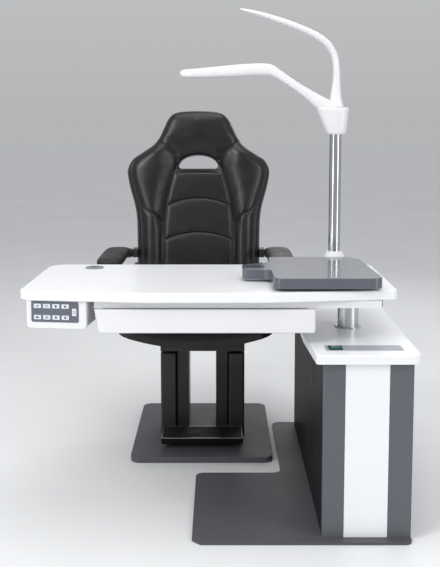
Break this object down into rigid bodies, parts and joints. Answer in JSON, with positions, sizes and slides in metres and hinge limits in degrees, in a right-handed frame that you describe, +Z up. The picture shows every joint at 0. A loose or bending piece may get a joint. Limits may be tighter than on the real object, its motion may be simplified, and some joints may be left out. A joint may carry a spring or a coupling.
{
  "type": "ophthalmic refraction unit",
  "caption": "Lifting instrument table on a side cabinet with drawer, control panel, sliding tray and pole arms, facing a powered patient chair.",
  "frame": {"origin": "on the floor, on the axis of the table's lift column", "axes": "+X to the right of the person at the control panel, +Y away from that person towards the chair, +Z up"},
  "size_m": [1.1559, 1.2815, 1.5664],
  "materials": {
    "plate_grey": "satin powder coat",
    "cabinet_grey": "dark laminate",
    "side_gloss": "dark gloss laminate",
    "white_panel": "satin white laminate",
    "white_plastic": "moulded satin",
    "label_grey": "printed film",
    "rocker_green": "translucent green",
    "black_plastic": "moulded",
    "column_steel": "brushed",
    "polished_steel": "polished",
    "inner_steel": "zinc plated",
    "keypad_blue": "membrane film",
    "key_white": "moulded",
    "tray_blue_grey": "semi-gloss moulded",
    "lens_clear": "frosted diffuser",
    "frame_black": "satin black",
    "carriage_black": "black anodised",
    "trim_aluminium": "satin",
    "mat_rubber": "ribbed",
    "leather_black": "smooth grained",
    "arm_pad": "soft polyurethane",
    "housing_grey": "moulded"
  },
  "bodies": {
    "base": {"unit_base_plate": "plate_grey", "chair_base_plate": "plate_grey", "cabinet_front_frame": "cabinet_grey", "cabinet_centre_panel": "white_panel", "cabinet_side_left": "side_gloss", "cabinet_side_right": "side_gloss", "cabinet_back": "cabinet_grey", "cabinet_slab": "white_panel", "mains_inlet": "black_plastic", "label_strip": "label_grey", "switch_bezel": "black_plastic", "column_guide_tube": "inner_steel", "column_foot_ring": "column_steel", "table_lift_actuator": "inner_steel", "power_supply": "inner_steel", "chair_housings": "frame_black", "housing_caps": "black_plastic", "chair_actuators": "inner_steel"},
    "rocker": {"power_rocker": "rocker_green"},
    "table": {"column_tube": "column_steel", "lift_nut": "inner_steel", "tabletop": "white_panel", "cable_grommet": "housing_grey", "table_underframe": "white_plastic", "control_box": "white_plastic", "keypad_label": "keypad_blue", "drawer_runners": "inner_steel", "tray_rails": "black_plastic", "pole_collar": "white_plastic", "lamp_pole": "polished_steel"},
    "drawer": {"drawer_front": "white_plastic", "drawer_box": "white_plastic"},
    "tray": {"instrument_tray": "tray_blue_grey", "tray_glides": "inner_steel"},
    "swing_arm": {"arm_hub": "white_plastic", "instrument_arm": "white_plastic"},
    "lamp": {"lamp_arm": "white_plastic", "lamp_lens": "lens_clear"},
    "chair_lift": {"actuator_rods": "column_steel", "lift_carriage": "carriage_black", "footrest_frame": "trim_aluminium", "footrest_mat": "mat_rubber", "seat_frame": "frame_black", "seat_cushion": "leather_black"},
    "chair_back": {"back_shell": "leather_black", "back_cushion": "leather_black", "recline_brackets": "frame_black", "arm_brackets": "frame_black"},
    "arm_left": {"armrest_left": "arm_pad"},
    "arm_right": {"armrest_right": "arm_pad"},
    "lever": {"recline_lever": "black_plastic"},
    "key_lamp": {"key_lamp": "key_white"},
    "key_aux": {"key_aux": "key_white"},
    "key_table_up": {"key_table_up": "key_white"},
    "key_chair_up": {"key_chair_up": "key_white"},
    "key_projector": {"key_projector": "key_white"},
    "key_memory": {"key_memory": "key_white"},
    "key_table_down": {"key_table_down": "key_white"},
    "key_chair_down": {"key_chair_down": "key_white"},
    "key_reset": {"key_reset": "key_white"}
  },
  "joints": [
    {"name": "rocker_tilt", "type": "hinge", "parent": "base", "child": "rocker", "pos_m": [-0.074, -0.268, 0.545], "axis": [1, 0, 0], "range_deg": [0, 14]},
    {"name": "table_lift", "type": "slide", "parent": "base", "child": "table", "axis": [0, 0, 1], "range_m": [0, 0.2]},
    {"name": "drawer_slide", "type": "slide", "parent": "table", "child": "drawer", "axis": [0, -1, 0], "range_m": [0, 0.25]},
    {"name": "tray_slide", "type": "slide", "parent": "table", "child": "tray", "axis": [-1, 0, 0], "range_m": [0, 0.2]},
    {"name": "arm_swing", "type": "hinge", "parent": "table", "child": "swing_arm", "pos_m": [-0.019, 0.219, 1.2], "axis": [0, 0, 1], "range_deg": [-120, 120]},
    {"name": "lamp_swing", "type": "hinge", "parent": "table", "child": "lamp", "pos_m": [-0.019, 0.219, 1.3], "axis": [0, 0, 1], "range_deg": [-150, 150]},
    {"name": "chair_lift_slide", "type": "slide", "parent": "base", "child": "chair_lift", "axis": [0, 0, 1], "range_m": [0, 0.15]},
    {"name": "back_recline", "type": "hinge", "parent": "chair_lift", "child": "chair_back", "pos_m": [-0.493, 0.775, 0.466], "axis": [-1, 0, 0], "range_deg": [0, 30]},
    {"name": "arm_left_flip", "type": "hinge", "parent": "chair_back", "child": "arm_left", "pos_m": [-0.795, 0.799, 0.664], "axis": [-1, 0, 0], "range_deg": [0, 65]},
    {"name": "arm_right_flip", "type": "hinge", "parent": "chair_back", "child": "arm_right", "pos_m": [-0.191, 0.799, 0.664], "axis": [-1, 0, 0], "range_deg": [0, 65]},
    {"name": "lever_lift", "type": "hinge", "parent": "chair_lift", "child": "lever", "pos_m": [-0.22, 0.767, 0.394], "axis": [-1, 0, 0], "range_deg": [0, 20], "stiffness_Nm_per_rad": 0.6, "springref_deg": -8.59},
    {"name": "key_lamp_press", "type": "slide", "parent": "table", "child": "key_lamp", "axis": [0.1184, 0.993, 0], "range_m": [0, 0.0015], "stiffness_N_per_m": 400, "springref_m": -0.0005},
    {"name": "key_aux_press", "type": "slide", "parent": "table", "child": "key_aux", "axis": [0.1184, 0.993, 0], "range_m": [0, 0.0015], "stiffness_N_per_m": 400, "springref_m": -0.0005},
    {"name": "key_table_up_press", "type": "slide", "parent": "table", "child": "key_table_up", "axis": [0.1184, 0.993, 0], "range_m": [0, 0.0015], "stiffness_N_per_m": 400, "springref_m": -0.0005},
    {"name": "key_chair_up_press", "type": "slide", "parent": "table", "child": "key_chair_up", "axis": [0.1184, 0.993, 0], "range_m": [0, 0.0015], "stiffness_N_per_m": 400, "springref_m": -0.0005},
    {"name": "key_projector_press", "type": "slide", "parent": "table", "child": "key_projector", "axis": [0.1184, 0.993, 0], "range_m": [0, 0.0015], "stiffness_N_per_m": 400, "springref_m": -0.0005},
    {"name": "key_memory_press", "type": "slide", "parent": "table", "child": "key_memory", "axis": [0.1184, 0.993, 0], "range_m": [0, 0.0015], "stiffness_N_per_m": 400, "springref_m": -0.0005},
    {"name": "key_table_down_press", "type": "slide", "parent": "table", "child": "key_table_down", "axis": [0.1184, 0.993, 0], "range_m": [0, 0.0015], "stiffness_N_per_m": 400, "springref_m": -0.0005},
    {"name": "key_chair_down_press", "type": "slide", "parent": "table", "child": "key_chair_down", "axis": [0.1184, 0.993, 0], "range_m": [0, 0.0015], "stiffness_N_per_m": 400, "springref_m": -0.0005},
    {"name": "key_reset_press", "type": "slide", "parent": "table", "child": "key_reset", "axis": [0.1184, 0.993, 0], "range_m": [0, 0.0015], "stiffness_N_per_m": 400, "springref_m": -0.0005}
  ]
}
